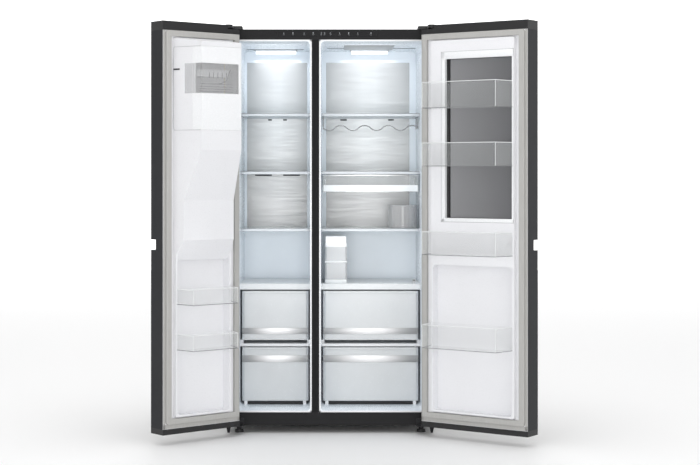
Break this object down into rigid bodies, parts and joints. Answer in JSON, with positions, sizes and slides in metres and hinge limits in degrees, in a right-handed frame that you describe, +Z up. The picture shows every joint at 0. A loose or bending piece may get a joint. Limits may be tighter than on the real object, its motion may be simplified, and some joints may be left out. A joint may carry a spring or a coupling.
{
  "type": "side by side refrigerator",
  "caption": "Side by side refrigerator with its doors open: shelves, drawers, door baskets, ice room, dispenser, window door and machine compartment.",
  "frame": {"origin": "on the floor, under the middle of the cabinet's front face", "axes": "+X to the right seen from the front, +Y from the front face into the cabinet, +Z up"},
  "size_m": [1.6114, 1.08, 1.7675],
  "materials": {
    "charcoal_steel": "satin",
    "galvanised_steel": "satin",
    "charcoal_plastic": "satin",
    "black_plastic": "matte",
    "white_liner": "satin",
    "white_plastic": "gloss",
    "foam": "matte",
    "gasket": "matte",
    "clear_plastic": "gloss",
    "shelf_glass": "gloss",
    "cover_plastic": "gloss",
    "dark_glass": "gloss",
    "black_gloss": "gloss",
    "bright_trim": "satin",
    "brushed_panel": "satin",
    "chrome_wire": "polished",
    "hinge_steel": "satin",
    "compressor_paint": "satin",
    "coil_aluminium": "satin",
    "lamp_lens": "satin"
  },
  "bodies": {
    "cabinet": {"outer_cabinet": "charcoal_steel", "mullion_strip": "charcoal_steel", "base_pan": "charcoal_steel", "cabinet_back": "galvanised_steel", "machine_tray": "galvanised_steel", "hinge_covers": "charcoal_plastic", "machine_cover": "black_plastic", "cord_gland": "black_plastic", "freezer_liner": "white_liner", "fridge_liner": "white_liner", "freezer_back_panel": "white_liner", "fridge_back_panel": "white_liner", "drawer_rails": "white_liner", "cabinet_foam": "foam", "clear_bin": "clear_plastic", "shelf_glass": "shelf_glass", "drawer_covers": "cover_plastic", "control_panel": "black_gloss", "shelf_trims": "bright_trim", "metal_panels": "brushed_panel", "bottle_rack": "chrome_wire", "top_hinges": "hinge_steel", "bottom_hinges": "hinge_steel", "compressor": "compressor_paint", "condenser": "compressor_paint", "evaporator": "coil_aluminium", "ceiling_lamps": "lamp_lens"},
    "left_door": {"left_door_skin": "charcoal_steel", "left_door_caps": "charcoal_plastic", "left_door_foam": "foam", "left_door_gasket": "gasket", "left_door_liner": "white_liner", "left_door_baskets": "clear_plastic", "ice_bin": "clear_plastic", "dispenser_housing": "black_gloss", "drip_tray": "black_gloss"},
    "right_door": {"right_door_skin": "charcoal_steel", "right_door_caps": "charcoal_plastic", "right_door_foam": "foam", "right_door_gasket": "gasket", "right_door_liner": "white_liner", "right_door_baskets": "clear_plastic", "window_glass": "dark_glass", "window_frame": "white_liner"},
    "ice_cover": {"ice_room_cover": "white_liner"},
    "ice_mould": {"ice_tray": "white_plastic"},
    "paddle": {"dispenser_paddle": "black_gloss"},
    "freezer_upper": {"freezer_upper_drawer": "clear_plastic"},
    "freezer_lower": {"freezer_lower_drawer": "clear_plastic"},
    "fridge_upper": {"fridge_upper_drawer": "clear_plastic"},
    "fridge_lower": {"fridge_lower_drawer": "clear_plastic"},
    "utility": {"utility_box": "clear_plastic"},
    "tank": {"water_tank": "clear_plastic", "tank_lid": "white_plastic"},
    "slider": {"humidity_slider": "black_plastic"},
    "left_foot": {"front_foot_left": "black_plastic"},
    "right_foot": {"front_foot_right": "black_plastic"},
    "rollers": {"rear_rollers": "black_plastic"},
    "machine_fan": {"condenser_fan": "black_plastic"},
    "air_fan": {"evaporator_fan": "white_liner"}
  },
  "joints": [
    {"name": "left_door_hinge", "type": "hinge", "parent": "cabinet", "child": "left_door", "pos_m": [-0.437, -0.0671, 0.9], "axis": [0, 0, -1], "range_deg": [-140.2, 9.8]},
    {"name": "right_door_hinge", "type": "hinge", "parent": "cabinet", "child": "right_door", "pos_m": [0.437, -0.0671, 0.9], "axis": [0, 0, 1], "range_deg": [-145, 5]},
    {"name": "freezer_upper_slide", "type": "slide", "parent": "cabinet", "child": "freezer_upper", "axis": [0, -1, 0], "range_m": [0, 0.2]},
    {"name": "freezer_lower_slide", "type": "slide", "parent": "cabinet", "child": "freezer_lower", "axis": [0, -1, 0], "range_m": [0, 0.2]},
    {"name": "fridge_upper_slide", "type": "slide", "parent": "cabinet", "child": "fridge_upper", "axis": [0, -1, 0], "range_m": [0, 0.3]},
    {"name": "fridge_lower_slide", "type": "slide", "parent": "cabinet", "child": "fridge_lower", "axis": [0, -1, 0], "range_m": [0, 0.2]},
    {"name": "utility_box_slide", "type": "slide", "parent": "cabinet", "child": "utility", "axis": [0, -1, 0], "range_m": [0, 0.22]},
    {"name": "water_tank_slide", "type": "slide", "parent": "cabinet", "child": "tank", "axis": [0, -1, 0], "range_m": [0, 0.15]},
    {"name": "humidity_slide", "type": "slide", "parent": "cabinet", "child": "slider", "axis": [-1, 0, 0], "range_m": [0, 0.03]},
    {"name": "ice_cover_hinge", "type": "hinge", "parent": "left_door", "child": "ice_cover", "pos_m": [-0.38854, -0.2204, 1.479], "axis": [0, 0, 1], "range_deg": [0, 95]},
    {"name": "ice_tray_twist", "type": "hinge", "parent": "left_door", "child": "ice_mould", "pos_m": [-0.51371, -0.25701, 1.545], "axis": [-0.7683, -0.6401, 0], "range_deg": [0, 150]},
    {"name": "paddle_hinge", "type": "hinge", "parent": "left_door", "child": "paddle", "pos_m": [-0.55974, -0.19084, 1.165], "axis": [-0.7683, -0.6401, 0], "range_deg": [0, 12], "stiffness_Nm_per_rad": 0.2, "springref_deg": -8.59},
    {"name": "left_foot_turn", "type": "hinge", "parent": "cabinet", "child": "left_foot", "pos_m": [-0.397, 0.034, 0.016], "axis": [0, 0, 1], "continuous": true},
    {"name": "right_foot_turn", "type": "hinge", "parent": "cabinet", "child": "right_foot", "pos_m": [0.397, 0.034, 0.016], "axis": [0, 0, 1], "continuous": true},
    {"name": "rear_rollers_spin", "type": "hinge", "parent": "cabinet", "child": "rollers", "pos_m": [0, 0.56, 0.021], "axis": [1, 0, 0], "continuous": true},
    {"name": "machine_fan_spin", "type": "hinge", "parent": "cabinet", "child": "machine_fan", "pos_m": [-0.07, 0.515, 0.125], "axis": [1, 0, 0], "continuous": true},
    {"name": "air_fan_spin", "type": "hinge", "parent": "cabinet", "child": "air_fan", "pos_m": [-0.24313, 0.5325, 0.59], "axis": [0, 1, 0], "continuous": true}
  ]
}
